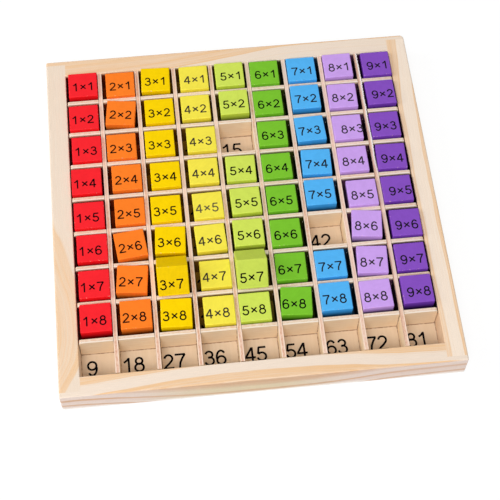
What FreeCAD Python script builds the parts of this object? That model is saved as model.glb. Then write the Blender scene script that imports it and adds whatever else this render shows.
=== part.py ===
import FreeCAD, Part
import math
import os

# A multiplication board: a shallow wooden tray, its egg-crate of dividers and its painted cubes.
# Millimetres. X runs to the right, Y to the back and Z up.
# The origin is the centre of the tray's underside.

# Cubes
CUBE_SIDE = 15.0
CUBE_BEVEL = 0.5

# Cells: what a cube has to spare in them, and the gap that a cube pushed aside still keeps
CUBE_PLAY = 2.6
EDGE_CELL_PLAY = 1.8
WALL_GAP = 0.1
CELLS_A_SIDE = 9

# Dividers
DIVIDER_THICKNESS = 2.0
DIVIDER_HEIGHT = 13.0
SLOT_SIDE_GAP = 0.2
SLOT_END_GAP = 0.15
COLUMN_END_GAP = 0.15
ROW_END_GAP = 0.35
ROW_CORNER_ROUND = 1.2

# Floor panel and the ledge that the rails hold it in
PANEL_THICKNESS = 2.0
PANEL_LEDGE = 4.5
PANEL_GAP = 0.2

# Rails
RAIL_WIDTH = 10.0
RAIL_TONGUE = 2.6
TOP_ROUND = 0.8
UNDER_ROUND = 1.2
INNER_ROUND = 0.5
CORNER_ROUND = 0.9
BACK_RIGHT_CORNER_ROUND = 2.2

# Tipped cubes: they lie across two row dividers, the printed face leaning to the viewer
TIP_ANGLE = 47.0
SEAT_GAP = 0.05

# Worked out from the sizes above
CELL = CUBE_SIDE + CUBE_PLAY
EDGE_CELL = CUBE_SIDE + EDGE_CELL_PLAY
PITCH = CELL + DIVIDER_THICKNESS
DIVIDERS = CELLS_A_SIDE - 1
FIRST_DIVIDER = -(DIVIDERS - 1) * PITCH / 2
INSIDE = (DIVIDERS - 1) * PITCH + DIVIDER_THICKNESS + 2 * EDGE_CELL
OUTSIDE = INSIDE + 2 * RAIL_WIDTH
FLOOR = PANEL_THICKNESS
TOP = FLOOR + DIVIDER_HEIGHT
SLOT_FLOOR = FLOOR + DIVIDER_HEIGHT / 2
SLOT_WIDTH = DIVIDER_THICKNESS + 2 * SLOT_SIDE_GAP

# How each upright cube lies, from the back row to the front one, as in the photograph:
# the share of its play that it is pushed to the right and to the back, minus for left and front.
LEANS = {
    "red": ((0.75, 0.25, 1, -0.25, 0.25, 1, 1, 0.75), (0.75, -0.75, -0.75, -0.5, -0.75, 0, -0.25, 1)),
    "orange": ((0.75, 0.5, -0.5, 0.75, 1, 1, 0, 0.5), (-1, 0.5, -0.75, -0.25, -0.5, 0.5, 1, 1)),
    "golden": ((0, 0.5, -0.5, 0.75, -0.25, 0.5, 0, 0.25), (0.75, -0.5, -0.5, -0.5, -0.75, 1, 0, 0)),
    "lemon": ((0.5, 0, 1, 0.5, 1, 0.75, 1, 1), (-0.5, 0, -0.5, -0.25, -1, 0, -0.5, -0.5)),
    "lime": ((0, 0.5, 0, 0, 0.5, 0, -0.75, -1), (0, 1, 0, -0.5, 0, 1, 0, -0.5)),
    "green": ((-1, -1, -1, -1, -0.75, -1, -1, -1), (-1, -0.5, -0.5, -0.75, -0.5, -0.5, -0.25, 0.75)),
    "blue": ((-0.75, -0.75, -1, -0.5, -0.75, 0, -1, -1), (-0.5, 0.75, 0.5, -0.5, 1, 0, -0.5, 1)),
    "lilac": ((-0.75, -1, -1, -1, 0.5, 0.5, -0.25, -1), (0.25, -0.25, -0.5, -0.5, -1, 1, -0.5, 0.5)),
    "purple": ((0.5, 0, -1, -1, -1, 0.5, -0.5, -0.25), (-0.75, 0, -0.5, -0.75, -0.5, -0.75, -0.5, 1)),
}
COLOURS = tuple(LEANS)

# Cubes that stand turned in their cells, by column and row: the share of the most that a cell
# lets a cube turn, minus for clockwise
TURNS = {
    (2, 2): -0.6,
    (2, 6): 0.6,
    (2, 7): -0.5,
    (3, 1): -0.3,
    (3, 6): -0.3,
    (3, 8): -0.2,
    (4, 5): 0.1,
    (4, 6): 0.2,
    (5, 4): -0.1,
    (5, 5): 0.1,
    (6, 1): -0.1,
    (6, 3): -0.1,
    (6, 7): -0.1,
    (6, 8): -0.4,
    (7, 3): 0.2,
    (7, 4): -0.2,
    (8, 2): -0.1,
    (8, 6): -0.6,
    (8, 7): -0.4,
    (8, 8): 0.1,
    (9, 2): 0.1,
    (9, 4): -0.2,
    (9, 6): -0.1,
}
TIPPED = ((3, 7), (5, 7))
TAKEN_OUT = ((5, 3), (7, 6))


def box(low, high):
    """A block between two corners."""
    size = FreeCAD.Vector(*high) - FreeCAD.Vector(*low)
    return Part.makeBox(size.x, size.y, size.z, FreeCAD.Vector(*low))


def edges_where(shape, test):
    """The straight edges whose two ends both pass a test."""
    return [e for e in shape.Edges if all(test(v.Point) for v in e.Vertexes)]


def rounded_slab(side, height):
    """The tray's outer form: a square block with its corners and edges rounded over."""
    half = side / 2
    slab = box((-half, -half, 0), (half, half, height))
    corners = {
        (1, 1): BACK_RIGHT_CORNER_ROUND,
        (1, -1): CORNER_ROUND,
        (-1, 1): CORNER_ROUND,
        (-1, -1): CORNER_ROUND,
    }
    for (right, back), radius in corners.items():
        upright = edges_where(slab, lambda p: p.x * right > 0 and p.y * back > 0)
        slab = slab.makeFillet(radius, upright)
    slab = slab.makeFillet(TOP_ROUND, edges_where(slab, lambda p: p.z > height / 2))
    return slab.makeFillet(UNDER_ROUND, edges_where(slab, lambda p: p.z < height / 2))


def rail_frame():
    """The four rails before they are told apart: the slab, its opening and the ledge for the panel."""
    frame = rounded_slab(OUTSIDE, TOP)
    half = INSIDE / 2
    frame = frame.cut(box((-half, -half, -1), (half, half, TOP + 1)))
    middle = half + RAIL_WIDTH / 2
    rim = edges_where(frame, lambda p: p.z > TOP / 2 and abs(p.x) < middle and abs(p.y) < middle)
    frame = frame.makeFillet(INNER_ROUND, rim)
    ledge = half + PANEL_LEDGE
    return frame.cut(box((-ledge, -ledge, -1), (ledge, ledge, PANEL_THICKNESS)))


def rails():
    """Front and back rails end in tongues that cover the ends of the left and right rails."""
    frame = rail_frame()
    out = OUTSIDE / 2 + 1
    inside = INSIDE / 2
    shoulder = OUTSIDE / 2 - RAIL_TONGUE
    sides = {}
    for name, sign in (("left_rail", -1), ("right_rail", 1)):
        x = sorted((sign * inside, sign * out))
        sides[name] = frame.common(box((x[0], -shoulder, -1), (x[1], shoulder, TOP + 1)))
    ends = {}
    for name, sign in (("front_rail", -1), ("back_rail", 1)):
        y = sorted((sign * inside, sign * out))
        rail = frame.common(box((-out, y[0], -1), (out, y[1], TOP + 1)))
        for side in sides.values():
            rail = rail.cut(side)
        ends[name] = rail
    return {**ends, **sides}


def floor_panel():
    half = INSIDE / 2 + PANEL_LEDGE - PANEL_GAP
    return box((-half, -half, 0), (half, half, PANEL_THICKNESS))


def divider_places():
    return [FIRST_DIVIDER + PITCH * i for i in range(DIVIDERS)]


def row_divider():
    """Runs left to right through the middle of the board, slotted from above."""
    half = INSIDE / 2 - ROW_END_GAP
    thick = DIVIDER_THICKNESS / 2
    strip = box((-half, -thick, FLOOR), (half, thick, TOP))
    ends = [e for e in strip.Edges if abs(e.Vertexes[0].Y - e.Vertexes[1].Y) > thick]
    strip = strip.makeFillet(ROW_CORNER_ROUND, ends)
    for x in divider_places():
        slot = box((x - SLOT_WIDTH / 2, -thick - 1, SLOT_FLOOR - SLOT_END_GAP / 2),
                   (x + SLOT_WIDTH / 2, thick + 1, TOP + 1))
        strip = strip.cut(slot)
    return strip


def column_divider():
    """Runs front to back through the middle of the board, slotted from below."""
    half = INSIDE / 2 - COLUMN_END_GAP
    thick = DIVIDER_THICKNESS / 2
    strip = box((-thick, -half, FLOOR), (thick, half, TOP))
    for y in divider_places():
        slot = box((-thick - 1, y - SLOT_WIDTH / 2, FLOOR - 1),
                   (thick + 1, y + SLOT_WIDTH / 2, SLOT_FLOOR + SLOT_END_GAP / 2))
        strip = strip.cut(slot)
    return strip


def cell_span(number):
    """The two walls of a cell, counted from 1 at the left or at the front."""
    walls = divider_places()
    half = DIVIDER_THICKNESS / 2
    low = -INSIDE / 2 if number == 1 else walls[number - 2] + half
    high = INSIDE / 2 if number == CELLS_A_SIDE else walls[number - 1] - half
    return low, high


def painted_cube():
    """A cube about the origin, its edges and corners broken by a small bevel."""
    half = CUBE_SIDE / 2
    cube = box((-half, -half, -half), (half, half, half))
    return cube.makeChamfer(CUBE_BEVEL, cube.Edges)


def half_width(turn):
    """Half of the room that a turned cube takes along X or Y, out to its bevelled corners."""
    half = CUBE_SIDE / 2
    return half * math.cos(turn) + (half - CUBE_BEVEL) * abs(math.sin(turn))


def widest_turn(opening):
    """The turn at which a cube meets the walls of a cell, or else its corner stands foremost."""
    half = CUBE_SIDE / 2
    corner = math.hypot(half, half - CUBE_BEVEL)
    foremost = math.atan2(half - CUBE_BEVEL, half)
    return foremost - math.acos(min((opening / 2 - WALL_GAP) / corner, 1))


def upright_cube(cube, column, row, lean_x, lean_y):
    """A cube on the floor of its cell, turned and pushed aside as it lies."""
    left, right = cell_span(column)
    front, back = cell_span(CELLS_A_SIDE + 1 - row)
    opening = min(right - left, back - front)
    turn = TURNS.get((column, row), 0) * widest_turn(opening)
    play_x = (right - left) / 2 - WALL_GAP - half_width(turn)
    play_y = (back - front) / 2 - WALL_GAP - half_width(turn)
    place = FreeCAD.Vector((left + right) / 2 + lean_x * play_x,
                           (front + back) / 2 + lean_y * play_y,
                           FLOOR + CUBE_SIDE / 2)
    return cube.rotated(FreeCAD.Vector(), FreeCAD.Vector(0, 0, 1), math.degrees(turn)).translated(place)


def tipped_cube(cube, column, row, lean_x):
    """A cube that lies on the upper edges of the two row dividers of its cell."""
    left, right = cell_span(column)
    front, back = cell_span(CELLS_A_SIDE + 1 - row)
    tip = math.radians(TIP_ANGLE)
    half = CUBE_SIDE / 2 + SEAT_GAP
    reach = (back - front) / 2
    up_front = half - reach * math.cos(tip)
    up_back = half - reach * math.sin(tip)
    place = FreeCAD.Vector(
        (left + right) / 2 + lean_x * ((right - left - CUBE_SIDE) / 2 - WALL_GAP),
        (front + back) / 2 + up_front * math.cos(tip) - up_back * math.sin(tip),
        TOP + up_front * math.sin(tip) + up_back * math.cos(tip),
    )
    return cube.rotated(FreeCAD.Vector(), FreeCAD.Vector(1, 0, 0), TIP_ANGLE).translated(place)


def colour_column(column, colour):
    """The cubes of one colour, which share a column of cells."""
    cube = painted_cube()
    sideways, backwards = LEANS[colour]
    cubes = []
    for row, lean_x, lean_y in zip(range(1, CELLS_A_SIDE + 1), sideways, backwards):
        if (column, row) in TAKEN_OUT:
            continue
        if (column, row) in TIPPED:
            cubes.append(tipped_cube(cube, column, row, lean_x))
        else:
            cubes.append(upright_cube(cube, column, row, lean_x, lean_y))
    return Part.makeCompound(cubes)


def main():
    nodes = rails()
    nodes["floor_panel"] = floor_panel()
    for number, place in enumerate(divider_places(), 1):
        nodes[f"column_divider_{number}"] = column_divider().translated(FreeCAD.Vector(place, 0, 0))
        nodes[f"row_divider_{number}"] = row_divider().translated(FreeCAD.Vector(0, -place, 0))
    for column, colour in zip(range(1, CELLS_A_SIDE + 1), COLOURS):
        nodes[f"{colour}_cubes"] = colour_column(column, colour)
    for name, shape in nodes.items():
        shape.exportStep(f"parts/{name}.step")


os.makedirs("parts", exist_ok=True)
main()
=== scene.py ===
import math

import bmesh
import bpy
from mathutils import Matrix, Vector


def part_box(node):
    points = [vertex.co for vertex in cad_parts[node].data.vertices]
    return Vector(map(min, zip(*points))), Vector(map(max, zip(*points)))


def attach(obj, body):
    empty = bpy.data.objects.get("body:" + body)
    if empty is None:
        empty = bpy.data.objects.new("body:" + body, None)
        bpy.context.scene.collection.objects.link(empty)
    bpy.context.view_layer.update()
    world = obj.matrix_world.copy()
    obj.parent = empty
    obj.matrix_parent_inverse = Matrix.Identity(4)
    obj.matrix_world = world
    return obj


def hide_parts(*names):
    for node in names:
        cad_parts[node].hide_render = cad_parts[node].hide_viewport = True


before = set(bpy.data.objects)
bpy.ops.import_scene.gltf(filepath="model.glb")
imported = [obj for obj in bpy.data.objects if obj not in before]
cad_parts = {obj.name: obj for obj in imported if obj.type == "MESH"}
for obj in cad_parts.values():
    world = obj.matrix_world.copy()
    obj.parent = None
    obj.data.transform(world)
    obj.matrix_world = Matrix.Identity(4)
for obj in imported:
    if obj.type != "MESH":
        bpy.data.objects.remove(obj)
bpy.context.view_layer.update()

# Metres. X runs to the right, Y to the back and Z up, from the centre of the tray's underside.
MM = 0.001

# Camera: place, turn in degrees and focal length in millimetres on a 36 mm sensor
CAMERA_PLACE = (-0.038762, -0.327677, 0.570303)
CAMERA_TURN = (28.5835, -0.6661, -6.0917)
CAMERA_LENS = 92.572
CAMERA_SENSOR = 36.0
CAMERA_REACH = 20.0

# Light: the sky's level, and each lamp's place and watts. The lamps are squares that point at the board.
SKY = 0.39
LAMPS = {
    "key": ((-0.3, -1.2, 1.6), 21.2),
    "fill": ((-1.15, 0.1, 0.75), 8.0),
}
LAMP_SIDE = 0.9

# Studio floor: half its side, its depth below the board and its grey. The camera sees it glow white, near
# the board for the first share and far from it wholly, so that the board's shadow shows only close by.
STUDIO_HALF = 3.0
STUDIO_DROP = 0.05 * MM
STUDIO_GREY = (0.9, 0.9, 0.9, 1)
STUDIO_GLOW = 1.06
STUDIO_NEAR, STUDIO_FAR = 0.2, 0.8
STUDIO_SHARES = (0.82, 1.0)
WHITE = (1, 1, 1, 1)
BLACK = (0, 0, 0, 1)

# The paint of each column of cubes, from the left, 0 to 255
PAINTS = {
    "red": (248, 38, 47),
    "orange": (254, 128, 38),
    "golden": (251, 211, 0),
    "lemon": (246, 230, 76),
    "lime": (208, 227, 91),
    "green": (122, 194, 48),
    "blue": (84, 180, 245),
    "lilac": (204, 162, 238),
    "purple": (134, 80, 192),
}
# Painted shade on a cube's sides: how much deeper their copy of the paint is, as a power of its light, and
# the colours where it is less
SIDE_SHADE_POWER = 1.2
LESS_SIDE_SHADE = {"orange": 1.0, "golden": 1.0, "lemon": 1.1, "green": 1.1, "lilac": 1.0}
# How much of its light the printed face of a tipped cube keeps under painted shade
TIPPED_LIGHT = 0.9

# How much light a surface mirrors, and how rough it is, from 0 to 1. Pine is smoother where it is tan, and
# the paint where it is deeper in tone.
SHEEN = 0.15
PAINT_SHEEN = 0.06
INK_SHEEN = 0.0
PINE_ROUGH = (0.62, 0.52)
PLY_ROUGH = 0.62
PANEL_ROUGH = 0.6
PAINT_ROUGH = (0.4, 0.5)
INK_ROUGH = 0.6
# The depth of each surface's relief
PINE_RELIEF = 0.05 * MM
PLY_RELIEF = 0.06 * MM
PANEL_RELIEF = 0.04 * MM
PAINT_RELIEF = 0.02 * MM

# Cubes: the rounding of their edges, the area that tells a cube's face from its bevels in the solids, and
# the direction that the print is read from
CUBE_ROUND = 0.45 * MM
ROUND_STEPS = 3
BIG_FACE = 50 * MM * MM
READER = Vector((0, -0.5, 1))

# Print: the height of its figures, and their stroke and advance as shares of that height
CUBE_PRINT = (5.05 * MM, 0.136, 0.777)
FLOOR_PRINT = (7.8 * MM, 0.13, 0.71)
# In the same shares, how much further the multiplication sign advances, and the middle of a figure's height
TIMES_EXTRA = 0.04
FIGURE_MIDDLE = 0.49
# How far a stroke stands out of the surface and reaches into it, and how much more each further one does
INK_DEPTH = 0.03 * MM
STROKE_STEP = 0.06
# Degrees from point to point of a round stroke, and how near its ends come where it closes
ARC_STEP = 15
CLOSED = 1e-6

# How far right of its cube's middle each sum is printed, in millimetres, down each column
PRINT_RIGHT = {
    "red": (0.1, -0.6, -0.5, -0.9, -0.8, -1.0, -1.1, -0.6),
    "orange": (0.1, 0.0, -0.3, -0.3, -0.6, -0.4, -0.6, -0.8),
    "golden": (0.0, -0.1, -0.2, -0.2, -0.6, -0.5, -0.8, -0.9),
    "lemon": (0.5, -0.2, -0.4, -0.1, -0.6, -0.5, -0.7, -0.9),
    "lime": (0.7, -0.2, 0.0, 0.0, 0.1, 0.0, -0.5, -0.7),
    "green": (0.6, 0.2, 0.0, -0.1, -0.5, -0.3, -0.7, -1.2),
    "blue": (0.4, 0.0, -0.6, 0.0, -0.3, 0.0, -0.4, -0.7),
    "lilac": (0.6, 0.0, 2.2, 0.0, -0.2, -0.4, -0.4, -0.6),
    "purple": (0.6, 0.9, 0.1, 0.3, 1.4, 0.2, 0.4, 0.5),
}
# How far below its cube's middle a sum is printed, in the back row and in the front row
PRINT_DOWN = (1.35 * MM, 1.75 * MM)

# The ink, faded on one cube and worn in spots. It is lighter on some of the paints, partly as fainter ink
# and partly as a painted sheen, since the ink itself mirrors no light
INK = (10, 7, 12)
FAINT_AND_SHEEN_INK = {"lemon": (60, 56, 50), "blue": (36, 35, 37), "lilac": (53, 50, 56), "purple": (28, 26, 30)}
FADED_CUBE = (4, 5)
FADED_INK = (100, 94, 70)
WORN_INK = (45, 40, 44)

# The products on the floor panel: their pitch from column to column, how far they lie right of and behind
# the cells' middles, and the slope of each row
PRODUCT_PITCH = 19.68 * MM
PRODUCT_SHIFT = Vector((-2.5 * MM, 0.75 * MM))
PRODUCT_SLANT = -0.0045

# The board's layout, read from its pieces
COLOURS = tuple(PAINTS)
CELLS_A_SIDE = len(COLOURS)
DIVIDERS = CELLS_A_SIDE - 1
MIDDLE = (CELLS_A_SIDE + 1) / 2


def middle(node):
    low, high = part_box(node)
    return (low + high) / 2


PITCH = (middle(f"column_divider_{DIVIDERS}").x - middle("column_divider_1").x) / (DIVIDERS - 1)
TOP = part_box("front_rail")[1].z
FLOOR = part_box("floor_panel")[1].z
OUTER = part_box("front_rail")[1].x
INNER = -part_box("left_rail")[1].x
HALF_WALL = (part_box("column_divider_1")[1].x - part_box("column_divider_1")[0].x) / 2


def cube_places(node):
    """Reads how each cube of a colour lies: its row, a matrix whose Z is the printed face's direction, and
    the length of its side."""
    faces = {}
    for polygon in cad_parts[node].data.polygons:
        if polygon.area > BIG_FACE:
            row = round(MIDDLE - polygon.center.y / PITCH)
            way = tuple(round(v, 2) + 0.0 for v in polygon.normal)
            place = (polygon.center.copy(), polygon.normal.copy())
            faces.setdefault(row, {}).setdefault(way, []).append(place)
    for row, sides in sorted(faces.items()):
        halves = [(sum((c for c, n in side), Vector()) / len(side), side[0][1]) for side in sides.values()]
        centre = sum((c for c, n in halves), Vector()) / len(halves)
        up = max((n for c, n in halves), key=lambda n: n.dot(READER))
        right = max((n for c, n in halves), key=lambda n: n.x)
        face = max(halves, key=lambda h: h[1].dot(READER))[0]
        matrix = Matrix((right, up.cross(right), up)).transposed().to_4x4()
        matrix.translation = centre
        yield row, matrix, (face - centre).length * 2


def empty_cells():
    """The cells without a cube, numbered from 0 down each column, from the left column on."""
    held = {
        column * CELLS_A_SIDE + row - 1
        for column, colour in enumerate(COLOURS)
        for row, _, _ in cube_places(f"{colour}_cubes")
    }
    return [number for number in range(CELLS_A_SIDE ** 2) if number not in held]


EMPTY_CELLS = empty_cells()


def linear(colour):
    """A colour written 0 to 255, as light."""
    def one(v):
        v /= 255
        return v / 12.92 if v <= 0.04045 else ((v + 0.055) / 1.055) ** 2.4
    return (*(one(v) for v in colour), 1.0)


# The middle of a noise's range, which a change of tone or place is spread over
NOISE_RANGE = (0.3, 0.7)
# Where a surface turns from one direction to another, by that part of its own direction
TURNS = (0.4, 0.6)


class Shader:
    """The nodes of a material or a world, added one by one. Each method gives the new node's output."""

    def __init__(self, name, blocks=bpy.data.materials):
        self.block = blocks.new(name)
        self.block.use_nodes = True
        self.tree = self.block.node_tree
        self.tree.nodes.clear()

    def node(self, kind, inputs=None, **settings):
        new = self.tree.nodes.new(kind)
        for key, value in settings.items():
            setattr(new, key, value)
        for key, value in (inputs or {}).items():
            if isinstance(value, bpy.types.NodeSocket):
                self.tree.links.new(value, new.inputs[key])
            else:
                new.inputs[key].default_value = value
        return new

    def math(self, operation, *values, clamp=False):
        return self.node("ShaderNodeMath", dict(enumerate(values)),
                         operation=operation, use_clamp=clamp).outputs[0]

    def plus(self, first, second):
        return self.math("ADD", first, second)

    def minus(self, first, second):
        return self.math("SUBTRACT", first, second)

    def times(self, first, second, clamp=False):
        return self.math("MULTIPLY", first, second, clamp=clamp)

    def times_plus(self, first, second, third, clamp=False):
        return self.math("MULTIPLY_ADD", first, second, third, clamp=clamp)

    def larger(self, first, second):
        return self.math("MAXIMUM", first, second)

    def smaller(self, first, second):
        return self.math("MINIMUM", first, second)

    def unsigned(self, value):
        return self.math("ABSOLUTE", value)

    def vector(self, operation, *values):
        return self.node("ShaderNodeVectorMath", dict(enumerate(values)), operation=operation).outputs[0]

    def place(self):
        """The point's place in the piece's own frame."""
        return self.node("ShaderNodeTexCoord").outputs["Object"]

    def millimetres(self):
        """The same in millimetres, as one vector and as its three parts."""
        place = self.vector("MULTIPLY", self.place(), (1 / MM,) * 3)
        return place, self.split(place)

    def facing(self):
        """The surface's direction, as its three parts."""
        return self.split(self.node("ShaderNodeNewGeometry").outputs["Normal"])

    def split(self, vector):
        return self.node("ShaderNodeSeparateXYZ", {0: vector}).outputs

    def join(self, x, y, z):
        return self.node("ShaderNodeCombineXYZ", {0: x, 1: y, 2: z}).outputs[0]

    def stretch(self, *parts):
        """A place for a noise, from three parts that are each a value, or a value and its scale."""
        return self.join(*(self.times(*part) if isinstance(part, tuple) else part for part in parts))

    def noise(self, vector, scale=1.0, detail=2.0, roughness=0.5):
        return self.node("ShaderNodeTexNoise", {
            "Vector": vector, "Scale": scale, "Detail": detail, "Roughness": roughness,
        }).outputs[0]

    def remap(self, value, low, high, to_low=0.0, to_high=1.0, smooth=True):
        kind = "SMOOTHSTEP" if smooth else "LINEAR"
        return self.node("ShaderNodeMapRange", {
            0: value, 1: low, 2: high, 3: to_low, 4: to_high,
        }, interpolation_type=kind).outputs[0]

    def sway(self, noise, reach):
        """A noise as a change by up to that reach to either side."""
        return self.remap(noise, *NOISE_RANGE, -reach, reach)

    def mix(self, share, first, second, blend="MIX"):
        return self.node("ShaderNodeMix", {0: share, 6: first, 7: second},
                         data_type="RGBA", blend_type=blend).outputs[2]

    def dim(self, colour, level):
        """A colour times a level of grey."""
        return self.mix(1.0, colour, self.join(level, level, level), "MULTIPLY")

    def ramp(self, value, stops):
        """Grey levels along a value that runs from the first stop to the last."""
        first, last = stops[0][0], stops[-1][0]
        value = self.remap(value, first, last, smooth=False)
        new = self.node("ShaderNodeValToRGB", {0: value})
        elements = new.color_ramp.elements
        for i, (at, level) in enumerate(stops):
            at = (at - first) / (last - first)
            element = elements[i] if i < 2 else elements.new(at)
            element.position = at
            element.color = (level, level, level, 1)
        return self.node("ShaderNodeSeparateColor", {0: new.outputs[0]}).outputs[0]

    def curve(self, value, points):
        """A smooth curve through a few points, both of its axes in millimetres."""
        xs, ys = zip(*points)
        low, high, bottom, top = min(xs), max(xs), min(ys), max(ys)
        value = self.remap(value, low, high, smooth=False)
        new = self.node("ShaderNodeFloatCurve", {1: value})
        line = new.mapping.curves[0]
        for i, (x, y) in enumerate(points):
            at = ((x - low) / (high - low), (y - bottom) / (top - bottom))
            if i < 2:
                line.points[i].location = at
            else:
                line.points.new(*at)
        new.mapping.update()
        return self.remap(new.outputs[0], 0.0, 1.0, bottom, top, smooth=False)

    def bump(self, height, depth):
        """Relief of that depth in metres."""
        inputs = {"Strength": 1.0, "Distance": depth, "Height": height}
        return self.node("ShaderNodeBump", inputs).outputs[0]

    def surface(self, colour, roughness, normal=None, sheen=SHEEN):
        inputs = {"Base Color": colour, "Roughness": roughness, "Specular IOR Level": sheen}
        if normal is not None:
            inputs["Normal"] = normal
        shader = self.node("ShaderNodeBsdfPrincipled", inputs).outputs[0]
        self.node("ShaderNodeOutputMaterial", {0: shader})
        return self.block


# How much of the paint's light comes off the floor and off the walls between the cubes, as red, green and
# blue, which tints the painted shade there, and how near to black that painted shade goes on the wall right
# of a cube
FLOOR_GAP_SHADE = (0.42, 0.24, 0.22, 1.0)
WALL_GAP_SHADE = (0.2, 0.1, 0.1, 1.0)
RIGHT_WALL_SHADE = 0.8
# Where that shade begins below the walls' tops and where it is full, in millimetres
GAP_TOP, GAP_DEEP = 0.3, 2.0
# How far past the rails' inner faces it still holds, in millimetres
GAP_MARGIN = 0.3

# The line where two pieces meet
CONTACT = linear((142, 100, 72))
# The share of a line's width that is fully dark
SEAM_CORE = 0.35


def shade_gaps(s, colour, x, y, z, left, share=1.0):
    """Paints shade onto wood down in the gaps round the cubes, where the only light comes off their paint:
    tinted by the colour left, and nearly to black on the wall right of a cube. Tops and empty cells keep
    their colour. share is how much of the painted shade the rest takes."""
    facing = s.facing()
    numbers = []
    for place, way, turn in ((x, facing[0], 1.0), (y, facing[1], -1.0)):
        place = s.times(s.plus(place, way), turn * MM / PITCH)
        numbers.append(s.math("FLOOR", s.plus(place, CELLS_A_SIDE / 2)))
    column, row = numbers
    number = s.times_plus(column, float(CELLS_A_SIDE), row)
    reach = s.larger(s.unsigned(x), s.unsigned(y))
    filled = s.math("LESS_THAN", reach, INNER / MM + GAP_MARGIN)
    for empty in EMPTY_CELLS:
        filled = s.times(filled, s.minus(1.0, s.math("COMPARE", number, float(empty), 0.5)))
    filled = s.times(filled, s.remap(z, TOP / MM - GAP_TOP, TOP / MM - GAP_DEEP, 0.0, share))
    paints = s.node("ShaderNodeValToRGB", {0: s.times_plus(column, 1 / CELLS_A_SIDE, 0.5 / CELLS_A_SIDE)})
    paints.color_ramp.interpolation = "CONSTANT"
    elements = paints.color_ramp.elements
    for i, paint_colour in enumerate(PAINTS.values()):
        element = elements[i] if i < 2 else elements.new(i / CELLS_A_SIDE)
        element.position = i / CELLS_A_SIDE
        element.color = linear(paint_colour)
    # The painted shade: the paint's colour times left, and black on the wall right of a cube
    gap_shade = s.mix(1.0, paints.outputs[0], left, "MULTIPLY")
    gap_shade = s.mix(s.remap(facing[0], -0.5, 0.0, RIGHT_WALL_SHADE, 0.0), gap_shade, BLACK)
    return s.mix(filled, colour, gap_shade)


def seam(s, distance, width):
    """1 within that distance of a line, fading over its width."""
    return s.remap(distance, width * SEAM_CORE, width, 1.0, 0.0)


def from_walls(s, value):
    """How far a place along one axis is from the nearest wall across it, in millimetres."""
    share = s.math("FRACT", s.times_plus(value, MM / PITCH, CELLS_A_SIDE / 2))
    near = s.smaller(share, s.minus(1.0, share))
    divider = s.times_plus(near, PITCH / MM, -HALF_WALL / MM)
    rail = s.minus(INNER / MM, s.unsigned(value))
    return s.smaller(s.unsigned(divider), s.unsigned(rail))


# Pine, on the top and on the front rail's face, whose middle is yellower and whose foot is paler. Above its
# foot the face's copies are darker than the top's, a painted shade.
PINE_PALE = linear((241, 223, 205))
PINE_TAN = linear((238, 196, 150))
FACE_PALE = linear((230, 212, 202))
FACE_MIDDLE = linear((224, 208, 176))
FACE_TAN = linear((211, 168, 134))
FACE_FOOT = linear((252, 246, 238))
# The yellower stretch, in millimetres along the rail: its middle, and from there where it begins and ends
# to fade
YELLOW_MIDDLE, YELLOW_FULL, YELLOW_END = -10.0, 10.0, 60.0
# The foot, in millimetres from the underside: where the face begins to turn paler, and where it is palest
FOOT_TOP, FOOT_FULL = 3.5, 0.8
# Where a rail's top turns into its face, by the upward part of the surface's direction
TOP_TO_FACE = (0.75, 0.35)
# How far the rings wander, in millimetres, and how much streaks, fibres and speckles change the tone
RING_WANDER = 0.3
STREAK_TONE = 0.28
FIBRE_TONE = 0.035
SPECKLE_TONE = 0.045

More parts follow.
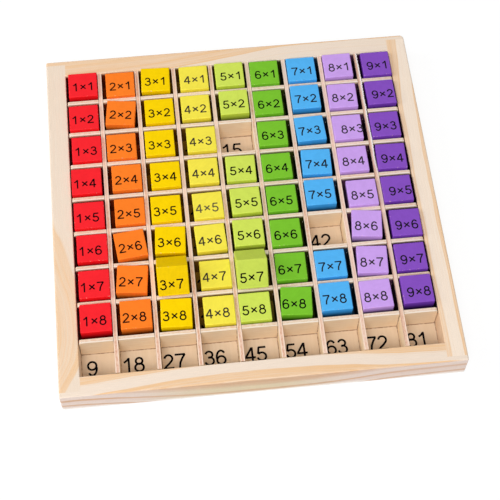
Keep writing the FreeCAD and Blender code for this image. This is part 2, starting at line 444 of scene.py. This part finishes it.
# Each rail's wood, in the words of pine()
RAILS = {
    "front": {
        "side": (0, -1),
        "bend": ((-96, 0.1), (-86, 0.3), (-75, 0.8), (-60, 2.2), (-45, 3.5), (-25, 4.6), (0, 5), (20, 4.7),
                 (28, 4.3), (41, 3.2), (54, 1.9), (67, 1.2), (79, 0.8), (86, 0.5), (96, 0.2)),
        "rings": ((-6, 0.9), (-4.4, 0.7), (-4.1, 0.95), (-3.3, 0.7), (-2.6, 0.95), (-1.7, 0.7), (-1.2, 1.0),
                  (-0.9, 0.8), (-0.6, 1.0), (-0.15, 1.0), (0.1, 0.0), (4.7, 0.0), (4.9, 0.4), (5.1, 0.0),
                  (5.4, 0.05), (5.6, 1.0), (6.2, 0.75), (8.0, 0.9), (10, 0.8), (24, 0.3)),
        "face": ((-5.2, 1.0), (-2.6, 0.8), (-0.6, 0.3), (0.3, 0.0), (2.2, 0.1), (2.6, 1.0), (3.1, 0.9),
                 (3.9, 0.1), (6.2, 0.0), (6.7, 1.0), (7.2, 0.7), (7.8, 0.0), (24, 0.0)),
        "slope": 0.68,
        "seed": 1.0,
    },
    "back": {
        "side": (0, 1),
        "bend": ((-96, 14), (-60, 12.5), (-28, 10), (0, 6), (20, 3.0), (33, 1.4), (50, 1.0), (96, 0.9)),
        "rings": ((-14, 0.6), (-10, 0.9), (-7, 0.65), (-5, 0.95), (-3.4, 0.6), (-1.6, 0.85), (-0.9, 0.7),
                  (-0.6, 1.0), (-0.2, 1.0), (0.1, 0.05), (4, 0.0), (4.4, 0.2), (5, 0.0), (24, 0.2)),
        "seed": 2.0,
    },
    "left": {
        "side": (-1, 0),
        "bend": ((-96, 1.5), (-90, 5), (-82, 9.5), (-74, 12.5), (-60, 14), (-48, 13), (-36, 10), (-28, 8),
                 (-20, 6), (-13, 4), (-2, 0.3), (30, -2), (96, -2)),
        "rings": ((-14, 0.75), (-11, 0.65), (-9, 0.5), (-7.4, 0.5), (-6.2, 0.7), (-4.2, 0.55), (-3, 0.7),
                  (-1.2, 0.75), (-0.5, 0.8), (0.6, 0.1), (24, 0.1)),
        "seed": 3.0,
        "pale": linear((238, 221, 203)),
        "in_gaps": 0.55,
    },
    "right": {
        "side": (1, 0),
        "bend": ((-96, 1.8), (-60, 2.1), (-35, 2.4), (0, 2.4), (30, 2.1), (50, 1.6), (70, 0.3), (82, -0.6),
                 (96, -1.2)),
        "rings": ((-2, 0.7), (-0.9, 0.7), (-0.4, 1.0), (-0.1, 0.1), (5.5, 0.05), (5.7, 0.3), (5.9, 0.1),
                  (6.1, 0.9), (7.0, 0.6), (8.0, 0.85), (10.4, 0.7), (24, 0.4)),
        "seed": 4.0,
        "pale": linear((248, 231, 213)),
    },
}


def pine(name, side, bend, rings, seed, face=None, slope=1.0, pale=PINE_PALE, in_gaps=1.0):
    """Planed pine. side is the outer face's direction. The year rings are surfaces that slope down into the
    rail from its top: rings gives how tan the wood is against the depth from the outer top edge, in
    millimetres, face the same for the outer face, and bend how far the rings shift inwards along the rail.
    slope is how much deeper they lie for each millimetre down. in_gaps is how much of the painted shade
    beside a cube the inner face takes."""
    s = Shader(name)
    place, (x, y, z) = s.millimetres()
    along, across = (x, y) if side[0] == 0 else (y, x)
    inward = s.minus(OUTER / MM, s.times(across, float(side[0] + side[1])))
    below = s.minus(TOP / MM, z)
    depth = s.minus(s.times_plus(below, slope, inward), s.curve(along, bend))
    wander = s.noise(s.stretch((along, 0.03), (depth, 0.2), seed), detail=2.0)
    depth = s.plus(depth, s.sway(wander, RING_WANDER))
    late = s.ramp(depth, rings)
    tan = PINE_TAN
    if face:
        aside = s.remap(s.facing()[2], *TOP_TO_FACE)
        late = s.plus(s.times(late, s.minus(1.0, aside)), s.times(s.ramp(depth, face), aside))
        from_middle = s.unsigned(s.plus(along, -YELLOW_MIDDLE))
        yellow = s.remap(from_middle, YELLOW_FULL, YELLOW_END, 1.0, 0.0)
        foot = s.remap(below, TOP / MM - FOOT_TOP, TOP / MM - FOOT_FULL)
        # The face's darker copies of the pine are painted shade
        pale_face = s.mix(foot, s.mix(yellow, FACE_PALE, FACE_MIDDLE), FACE_FOOT)
        pale = s.mix(aside, pale, pale_face)
        tan = s.mix(aside, PINE_TAN, FACE_TAN)
    streaks = s.noise(s.stretch((along, 0.02), (depth, 1.9), seed), detail=3.0)
    streaks = s.remap(streaks, 0.35, 0.7, -STREAK_TONE, STREAK_TONE)
    late = s.times_plus(streaks, s.times_plus(late, 0.8, 0.2), late, clamp=True)
    colour = s.mix(late, pale, tan)
    fibre = s.noise(s.stretch((along, 0.06), (across, 1.7), (z, 1.7)), 2.2, 3.0, 0.6)
    speckle = s.noise(place, 2.6)
    tone = s.plus(s.sway(fibre, FIBRE_TONE), s.sway(speckle, SPECKLE_TONE))
    colour = s.dim(colour, s.plus(tone, 1.0))
    # Painted shade down in the gaps round the cubes
    colour = shade_gaps(s, colour, x, y, z, WALL_GAP_SHADE, in_gaps)
    roughness = s.remap(late, 0.0, 1.0, *PINE_ROUGH)
    relief = s.times_plus(fibre, 0.6, s.times(speckle, 0.4))
    return s.surface(colour, roughness, s.bump(relief, PINE_RELIEF))


# The plywood of the column and of the row dividers. plies gives how tan a divider's top is from one side of
# it to the other, in millimetres, and fades how much of that is left where it is palest.
COLUMN_PLY = {
    "across_x": True,
    "plies": ((-1.0, 0.1), (-0.62, 0.0), (-0.45, 0.9), (-0.2, 0.7), (0.3, 0.65), (0.42, 0.8), (0.55, 0.05),
              (0.85, 0.0), (1.0, 0.2)),
    "fades": 0.35,
    "top": (linear((249, 223, 204)), linear((214, 152, 114))),
    "veneer": (linear((254, 234, 203)), linear((247, 222, 186))),
}
# The rows' pale front band on their top is partly their ply and partly a painted highlight on the front
# edge
ROW_PLY = {
    "across_x": False,
    "plies": ((-1.0, 0.3), (-0.8, 0.1), (-0.4, 0.15), (-0.2, 0.9), (0.0, 1.0), (0.3, 0.6), (0.7, 0.8),
              (1.0, 0.6)),
    "fades": 0.8,
    "top": (linear((246, 234, 220)), linear((226, 186, 150))),
    "veneer": (linear((246, 224, 194)), linear((240, 212, 178))),
}

# The last column divider, counted in cells from the middle, is split along its left side and frayed along
# its right
TORN_DIVIDER = 3.0
SPLIT_PLY = linear((208, 164, 140))
FRAYED_TOP = linear((252, 247, 240))
FRAYED_SIDE = linear((246, 236, 226))
SHADOW = linear((60, 34, 40))
# In millimetres: where the split lies, left of the divider's middle, how far the fraying takes to grow from
# the board's middle backwards, and how ragged it is on the top and down the side
SPLIT = (-0.5, -0.7)
FRAY_LENGTH = 25.0
FRAY_RAGGED, FRAY_HANGS = 1.6, 5.0
# How far the plies wander, in millimetres
PLY_WANDER = 0.22
# The width of the dark lines along a divider's foot and beside its slots, in millimetres, and how dark
# they are
DIVIDER_SEAM = 0.4
FOOT_DARK = 0.7
SLOT_DARK = 0.8


def plywood(name, across_x, plies, fades, top, veneer):
    """A divider: three plies that show on its narrow edges, and a tan face veneer."""
    s = Shader(name)
    place, (x, y, z) = s.millimetres()
    across, along = (x, y) if across_x else (y, x)
    pitches = s.math("DIVIDE", across, PITCH / MM)
    which = s.math("FLOOR", pitches)
    wander = s.noise(s.stretch((along, 0.08), which, 0.0), detail=2.0)
    off_middle = s.times_plus(s.math("FRACT", pitches), PITCH / MM, -PITCH / MM / 2)
    off_middle = s.plus(off_middle, s.sway(wander, PLY_WANDER))
    fleck = s.noise(s.stretch((along, 0.5), (across, 2.2), which), 1.0, 3.0, 0.7)
    core = s.times(s.ramp(off_middle, plies), s.remap(fleck, 0.35, 0.65, 0.35, 1.1))
    pinker = s.noise(s.stretch((which, 5.3), (along, 0.015), 4.0), detail=1.0)
    core = s.times(core, s.remap(pinker, 0.35, 0.6, fades, 1.2), clamp=True)
    edge = s.mix(core, *top)

    grain = s.noise(s.stretch((along, 0.12), (z, 1.6), which), 1.0, 4.0, 0.6)
    face = s.mix(s.remap(grain, *NOISE_RANGE), *veneer)
    foot = s.times(seam(s, s.minus(z, FLOOR / MM), DIVIDER_SEAM), FOOT_DARK)
    patchy = s.noise(s.stretch((along, 0.1), which, (z, 0.3)), detail=1.0)
    slot = s.times(seam(s, from_walls(s, along), DIVIDER_SEAM), s.remap(patchy, 0.4, 0.6))
    face = s.mix(s.larger(foot, s.times(slot, SLOT_DARK)), face, CONTACT)
    # Painted shade down in the gaps round the cubes
    face = shade_gaps(s, face, x, y, z, WALL_GAP_SHADE)

    facing = s.facing()
    if across_x:
        torn = s.math("COMPARE", which, TORN_DIVIDER, 0.5)
        edge = s.mix(s.times(torn, s.remap(off_middle, *SPLIT)), edge, SPLIT_PLY)
        frayed = s.times(torn, s.remap(along, 0.0, FRAY_LENGTH))
        ragged = s.noise(s.stretch(0.0, (along, 1.1), (z, 0.8)), 1.0, 3.0, 0.8)
        rim = s.times_plus(ragged, FRAY_RAGGED, s.plus(off_middle, -1.3))
        edge = s.mix(s.times(frayed, s.remap(rim, -0.5, -0.3)), edge, FRAYED_TOP)
        edge = s.mix(s.times(frayed, s.remap(rim, 0.2, 0.3)), edge, SHADOW)
        ragged = s.times_plus(s.noise(place, 0.9, 3.0, 0.7), FRAY_HANGS, z)
        hanging = s.times(frayed, s.remap(ragged, TOP / MM + 0.9, TOP / MM + 1.6))
        face = s.mix(s.times(hanging, s.remap(facing[0], *TURNS)), face, FRAYED_SIDE)
    colour = s.mix(s.remap(facing[2], *TURNS), face, edge)
    return s.surface(colour, PLY_ROUGH, s.bump(s.plus(fleck, grain), PLY_RELIEF))


# The floor panel's grain, and the tone of its patches
PANEL_GRAIN = (linear((233, 213, 189)), linear((228, 207, 180)))
PANEL_PATCH = linear((229, 203, 173))
PATCH_SHARE = 0.35
# The width of the dark lines along the walls' feet, in millimetres, and how dark they are at least and at
# most
PANEL_SEAM = 0.5
PANEL_DARK = (0.35, 0.9)


def floor_board(name):
    """The floor panel, with dark lines along the walls that stand on it."""
    s = Shader(name)
    place, (x, y, z) = s.millimetres()
    grain = s.noise(s.stretch((x, 0.8), (y, 0.06), 0.0), 1.0, 4.0, 0.6)
    patch = s.noise(place, 0.035)
    colour = s.mix(s.remap(grain, *NOISE_RANGE), *PANEL_GRAIN)
    colour = s.mix(s.remap(patch, 0.35, 0.7, 0.0, PATCH_SHARE), colour, PANEL_PATCH)
    worn = s.remap(s.noise(place, 0.6), 0.35, 0.6, *PANEL_DARK)
    nearest = s.smaller(from_walls(s, x), from_walls(s, y))
    edge = s.times(seam(s, nearest, PANEL_SEAM), worn)
    colour = s.mix(edge, colour, CONTACT)
    # Painted shade down in the gaps round the cubes
    colour = shade_gaps(s, colour, x, y, z, FLOOR_GAP_SHADE)
    return s.surface(colour, PANEL_ROUGH, s.bump(grain, PANEL_RELIEF))


BARE_WOOD = linear((236, 190, 168))
# Inwards from a cube's side, in millimetres: where its paint turns lighter, where nicks bare the wood, and
# where the printed face begins
LIGHTER_EDGE = (0.75, 0.15)
NICKED = (0.4, 0.12)
PRINTED = (0.5, 0.1)
# The part of a noise's range that is a nick
NICK_RANGE = (0.63, 0.67)
# Moves the noise on from cube to cube, by this many millimetres for each metre between their places
NOISE_SPREAD = 3000.0
# The saw marks: their scale along three axes, and the most that they are turned by, in radians
SAW_SCALE = (0.15, 1.3, 0.8)
SAW_TURN = 6.28
# How much saw marks, mottling and the lighter edge change the tone
SAW_TONE = 0.02
MOTTLE_TONE = 0.025
EDGE_TONE = 0.03
# How much of the light is left on a cube's sides, this far below the walls' tops
DEEP_LIGHT, DEEP = 0.45, 4.0 * MM
# How much of it goes on the sides that face left and right, fully from this depth on
BESIDE_LOSS, BESIDE_DEPTH = 0.5, 1.5 * MM
# Both begin at this height above the walls' tops
LOW_START = 0.6 * MM
# Heights above the walls' tops that only a tipped cube reaches: from the first, painted shade dulls its
# printed face, and from the second, its other faces lose the sides' painted shade
TIPPED_START, TIPPED_FULL = 2.1 * MM, 2.5 * MM
CLEAR_START, CLEAR_FULL = 2.2 * MM, 3.2 * MM


def paint(name, colour, half, depth):
    """Satin paint on a wooden cube, lighter along its edges and nicked through to the wood here and there.
    The printed face keeps the paint's full colour, and the other faces take a deeper copy of it, a painted
    shade, unless they stand clear above the walls. More painted shade darkens them further down between the
    walls, most where they face left or right, and dulls the printed face where a cube is tipped and so
    stands above the rest.
    half is half the cube's side, in millimetres, and depth the power that makes the deeper copy."""
    s = Shader(name)
    info = s.node("ShaderNodeObjectInfo").outputs
    geometry = s.node("ShaderNodeNewGeometry").outputs
    place, parts = s.millimetres()
    x, y, z = (s.unsigned(part) for part in parts)
    largest = s.larger(s.larger(x, y), z)
    smallest = s.smaller(s.smaller(x, y), z)
    second = s.minus(s.minus(s.plus(s.plus(x, y), z), largest), smallest)

    def near_side(distance, limits):
        return s.remap(distance, half - limits[0], half - limits[1])

    edge = near_side(second, LIGHTER_EDGE)

    spread = s.vector("MULTIPLY_ADD", info["Location"], (NOISE_SPREAD,) * 3, place)
    nick = s.noise(spread, 1.1, 3.0, 0.65)
    bare = s.times(near_side(second, NICKED), s.remap(nick, *NICK_RANGE))
    turned = s.node("ShaderNodeVectorRotate", {
        "Vector": place, "Angle": s.times(info["Random"], SAW_TURN),
    }, rotation_type="Z_AXIS").outputs[0]
    saw_place = s.vector("MULTIPLY_ADD", turned, SAW_SCALE, info["Location"])
    saw = s.noise(saw_place, 1.0, 3.0, 0.6)
    mottle = s.noise(spread, 0.35)
    tone = s.plus(s.sway(saw, SAW_TONE), s.sway(mottle, MOTTLE_TONE))
    tone = s.plus(tone, s.times(edge, EDGE_TONE))

    height = s.split(geometry["Position"])[2]
    clear = s.remap(height, TOP + CLEAR_START, TOP + CLEAR_FULL)
    printed = near_side(parts[2], PRINTED)
    bright = linear(colour)
    # Painted shade: the faces other than the printed one take a deeper copy of the paint, unless they stand
    # clear above the walls
    shaded_sides = (*(v ** depth for v in bright[:3]), 1.0)
    shade = s.mix(s.larger(printed, clear), shaded_sides, bright)
    shade = s.dim(shade, s.plus(tone, 1.0))
    shade = s.mix(bare, shade, BARE_WOOD)

    # Painted shade: less light down between the walls, more lost on faces turned left or right, and some on
    # a tipped cube's printed face
    light = s.remap(height, TOP + LOW_START, TOP - DEEP, 1.0, DEEP_LIGHT)
    sideways = s.remap(s.unsigned(s.split(geometry["Normal"])[0]), 0.4, 0.8)
    loss = s.remap(height, TOP + LOW_START, TOP - BESIDE_DEPTH, 0.0, BESIDE_LOSS)
    light = s.times(light, s.minus(1.0, s.times(sideways, loss)))
    tipped = s.times(printed, s.remap(height, TOP + TIPPED_START, TOP + TIPPED_FULL))
    light = s.times(light, s.remap(tipped, 0.0, 1.0, 1.0, TIPPED_LIGHT))
    shade = s.dim(shade, light)
    roughness = s.remap(mottle, *NOISE_RANGE, *PAINT_ROUGH)
    relief = s.bump(s.times_plus(saw, 0.7, nick), PAINT_RELIEF)
    return s.surface(shade, roughness, relief, PAINT_SHEEN)


def ink(name, shade=INK):
    s = Shader(name)
    info = s.node("ShaderNodeObjectInfo").outputs
    spread = s.vector("MULTIPLY_ADD", s.place(), (1 / MM,) * 3, info["Location"])
    worn = s.noise(spread, 1.3, 3.0, 0.7)
    colour = s.mix(s.remap(worn, 0.5, 0.85), linear(shade), linear(WORN_INK))
    return s.surface(colour, INK_ROUGH, sheen=INK_SHEEN)


def add_camera():
    data = bpy.data.cameras.new("camera")
    data.sensor_fit = "HORIZONTAL"
    data.sensor_width = CAMERA_SENSOR
    data.lens = CAMERA_LENS
    data.clip_end = CAMERA_REACH
    camera = bpy.data.objects.new("camera", data)
    camera.location = CAMERA_PLACE
    camera.rotation_euler = [math.radians(a) for a in CAMERA_TURN]
    bpy.context.scene.collection.objects.link(camera)
    bpy.context.scene.camera = camera


def add_lamp(name, place, power):
    data = bpy.data.lights.new(name, "AREA")
    data.shape = "SQUARE"
    data.size = LAMP_SIDE
    data.energy = power
    lamp = bpy.data.objects.new(name, data)
    lamp.location = place
    lamp.rotation_euler = (-Vector(place)).to_track_quat("-Z", "Y").to_euler()
    bpy.context.scene.collection.objects.link(lamp)


def add_world():
    """Soft light all round. What the camera sees behind the board, straight or mirrored, is white."""
    s = Shader("world", bpy.data.worlds)
    path = s.node("ShaderNodeLightPath").outputs
    seen = s.larger(path["Is Camera Ray"], path["Is Glossy Ray"])
    strength = s.remap(seen, 0.0, 1.0, SKY, 1.0, smooth=False)
    background = s.node("ShaderNodeBackground", {"Color": WHITE, "Strength": strength}).outputs[0]
    s.node("ShaderNodeOutputWorld", {0: background})
    bpy.context.scene.world = s.block


def add_floor():
    s = Shader("studio_floor")
    path = s.node("ShaderNodeLightPath").outputs
    away = s.node("ShaderNodeVectorMath", {0: s.place()}, operation="LENGTH").outputs["Value"]
    seen = s.times(path["Is Camera Ray"], s.remap(away, STUDIO_NEAR, STUDIO_FAR, *STUDIO_SHARES))
    diffuse = s.node("ShaderNodeBsdfDiffuse", {0: STUDIO_GREY}).outputs[0]
    glow = s.node("ShaderNodeEmission", {0: WHITE, 1: STUDIO_GLOW}).outputs[0]
    both = s.node("ShaderNodeMixShader", {0: seen, 1: diffuse, 2: glow}).outputs[0]
    s.node("ShaderNodeOutputMaterial", {0: both})
    mesh = bpy.data.meshes.new("studio_floor")
    corners = [(x * STUDIO_HALF, y * STUDIO_HALF, -STUDIO_DROP)
               for x, y in ((-1, -1), (1, -1), (1, 1), (-1, 1))]
    mesh.from_pydata(corners, [], [(0, 1, 2, 3)])
    mesh.materials.append(s.block)
    floor = bpy.data.objects.new("studio_floor", mesh)
    bpy.context.scene.collection.objects.link(floor)


def arc(x, y, rx, ry, start, end):
    """Points along an ellipse, from one angle to another, in degrees."""
    steps = max(2, round(abs(end - start) / ARC_STEP))
    angles = [math.radians(start + (end - start) * i / steps) for i in range(steps + 1)]
    return [(x + rx * math.cos(a), y + ry * math.sin(a)) for a in angles]


# Figures as pen strokes, one high, from the foot of the figure and the middle of its width
FIGURES = {
    "0": [arc(0, 0.49, 0.265, 0.45, 90, 450)],
    "1": [[(-0.235, 0.70), (-0.13, 0.755), (-0.02, 0.84), (0.045, 0.93)], [(0.072, 1.0), (0.072, 0)]],
    "2": [arc(-0.01, 0.70, 0.24, 0.245, 172, -38) + [(0.04, 0.38), (-0.17, 0.20), (-0.27, 0.06)],
          [(-0.33, 0.06), (0.315, 0.06)]],
    "3": [arc(-0.02, 0.735, 0.215, 0.21, 168, -82) + [(-0.09, 0.53)],
          [(-0.09, 0.535)] + arc(-0.015, 0.30, 0.265, 0.255, 82, -168)],
    "4": [[(0.125, 0), (0.125, 0.98)], [(0.10, 0.95), (-0.30, 0.31)], [(-0.345, 0.295), (0.32, 0.295)]],
    "5": [[(0.275, 0.93), (-0.185, 0.93)], [(-0.16, 0.95), (-0.225, 0.50)],
          arc(-0.01, 0.31, 0.265, 0.265, 140, -168)],
    "6": [arc(0.005, 0.305, 0.258, 0.265, 90, 450), arc(0.005, 0.50, 0.27, 0.443, 38, 192)],
    "7": [[(-0.32, 0.93), (0.325, 0.93)], [(0.30, 0.92), (0.14, 0.68), (0.0, 0.38), (-0.055, 0)]],
    "8": [arc(0, 0.735, 0.205, 0.208, 90, 450), arc(0, 0.30, 0.265, 0.255, 90, 450)],
    "x": [[(-0.25, 0.24), (0.25, 0.74)], [(-0.25, 0.74), (0.25, 0.24)]],
}
FIGURES["9"] = [[(-x, 2 * FIGURE_MIDDLE - y) for x, y in stroke] for stroke in FIGURES["6"]]


def stroke_sides(points, width):
    """The left and right side of a pen stroke, mitred at its bends, and whether it closes on itself."""
    closed = math.dist(points[0], points[-1]) < CLOSED
    if closed:
        points = points[:-1]
    count = len(points)
    left, right = [], []
    for i, point in enumerate(points):
        here = Vector(point)
        ways = []
        if i or closed:
            ways.append((here - Vector(points[i - 1])).normalized())
        if i + 1 < count or closed:
            ways.append((Vector(points[(i + 1) % count]) - here).normalized())
        way = sum(ways, Vector((0, 0))).normalized()
        aside = Vector((-way.y, way.x)) * (width / 2 / way.dot(ways[0]))
        left.append(here + aside)
        right.append(here - aside)
    return left, right, closed


def add_stroke(mesh, stroke, width, origin, height, low, high, material):
    """Lays one pen stroke on a bmesh, as a solid strip between two levels. origin is where the figure's own
    origin comes to lie."""
    left, right, closed = stroke_sides(stroke, width)
    low_left, low_right, high_left, high_right = (
        [mesh.verts.new((height * p.x + origin[0], height * p.y + origin[1], z)) for p in side]
        for z in (low, high) for side in (left, right)
    )
    count = len(left)
    faces = []
    for i in range(count if closed else count - 1):
        j = (i + 1) % count
        faces.append((high_left[j], high_left[i], high_right[i], high_right[j]))
        faces.append((low_left[i], low_left[j], low_right[j], low_right[i]))
        faces.append((low_left[j], low_left[i], high_left[i], high_left[j]))
        faces.append((low_right[i], low_right[j], high_right[j], high_right[i]))
    if not closed:
        faces.append((low_left[0], low_right[0], high_right[0], high_left[0]))
        faces.append((low_right[-1], low_left[-1], high_left[-1], high_right[-1]))
    for face in faces:
        mesh.faces.new(face).material_index = material


def add_text(mesh, text, style, centre, level, material):
    """Lays a line of print on a bmesh, half out of the surface at that level."""
    height, width, figure_advance = style
    advances = [figure_advance + (TIMES_EXTRA if letter == "x" else 0) for letter in text]
    at = -sum(advances) / 2
    for letter, advance in zip(text, advances):
        origin = (centre[0] + height * (at + advance / 2), centre[1] - height * FIGURE_MIDDLE)
        for order, stroke in enumerate(FIGURES[letter]):
            rise = INK_DEPTH * (1 + STROKE_STEP * order)
            add_stroke(mesh, stroke, width, origin, height, level - INK_DEPTH, level + rise, material)
        at += advance


def new_piece(name, mesh, materials):
    data = bpy.data.meshes.new(name)
    bmesh.ops.recalc_face_normals(mesh, faces=mesh.faces)
    mesh.to_mesh(data)
    mesh.free()
    for material in materials:
        data.materials.append(material)
    piece = bpy.data.objects.new(name, data)
    bpy.context.scene.collection.objects.link(piece)
    return piece


def painted_cube(column, row, side, materials):
    """One cube with its sum, about its own middle."""
    mesh = bmesh.new()
    bmesh.ops.create_cube(mesh, size=side)
    bmesh.ops.bevel(mesh, geom=mesh.edges[:], offset=CUBE_ROUND, segments=ROUND_STEPS,
                    profile=0.5, affect="EDGES")
    for face in mesh.faces:
        face.smooth = face.calc_area() < side * side / 2
    x = PRINT_RIGHT[COLOURS[column - 1]][row - 1] * MM
    share = (row - 1) / (CELLS_A_SIDE - 2)
    y = -PRINT_DOWN[0] + (PRINT_DOWN[0] - PRINT_DOWN[1]) * share
    add_text(mesh, f"{column}x{row}", CUBE_PRINT, (x, y), side / 2, 1)
    return new_piece(f"cube_{column}x{row}", mesh, materials)


def add_cubes():
    faded = ink("faded_ink", FADED_INK)
    for column, colour in enumerate(COLOURS, 1):
        node = f"{colour}_cubes"
        # Lighter ink on some paints: partly fainter ink, partly a painted sheen
        fresh = ink(f"{colour}_ink", FAINT_AND_SHEEN_INK.get(colour, INK))
        coat = None
        for row, matrix, side in cube_places(node):
            if coat is None:
                # The power of the sides' painted shade
                depth = LESS_SIDE_SHADE.get(colour, SIDE_SHADE_POWER)
                coat = paint(f"{colour}_paint", PAINTS[colour], side / 2 / MM, depth)
            printed = faded if (column, row) == FADED_CUBE else fresh
            cube = painted_cube(column, row, side, (coat, printed))
            cube.matrix_world = matrix
            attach(cube, "root")
            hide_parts(node)


def add_products():
    """The product of each cell, printed on the floor panel."""
    black = ink("floor_ink")
    for column in range(1, CELLS_A_SIDE + 1):
        mesh = bmesh.new()
        for row in range(1, CELLS_A_SIDE + 1):
            x = (column - MIDDLE) * PRODUCT_PITCH + PRODUCT_SHIFT.x
            y = (MIDDLE - row) * PITCH + PRODUCT_SHIFT.y + PRODUCT_SLANT * x
            add_text(mesh, str(column * row), FLOOR_PRINT, (x, y), FLOOR, 0)
        products = new_piece(f"products_of_{column}", mesh, (black,))
        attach(products, "root")


def dress(node, material):
    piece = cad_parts[node]
    if piece.material_slots:
        for slot in piece.material_slots:
            slot.material = material
    else:
        piece.data.materials.append(material)


def dress_tray():
    for rail, wood in RAILS.items():
        dress(f"{rail}_rail", pine(f"{rail}_pine", **wood))
    dress("floor_panel", floor_board("panel_board"))
    columns, rows = plywood("column_ply", **COLUMN_PLY), plywood("row_ply", **ROW_PLY)
    for number in range(1, DIVIDERS + 1):
        dress(f"column_divider_{number}", columns)
        dress(f"row_divider_{number}", rows)


add_camera()
add_world()
for lamp_name, (lamp_place, lamp_power) in LAMPS.items():
    add_lamp(lamp_name, lamp_place, lamp_power)
add_floor()
dress_tray()
add_cubes()
add_products()

bpy.context.scene.view_settings.view_transform = "Standard"
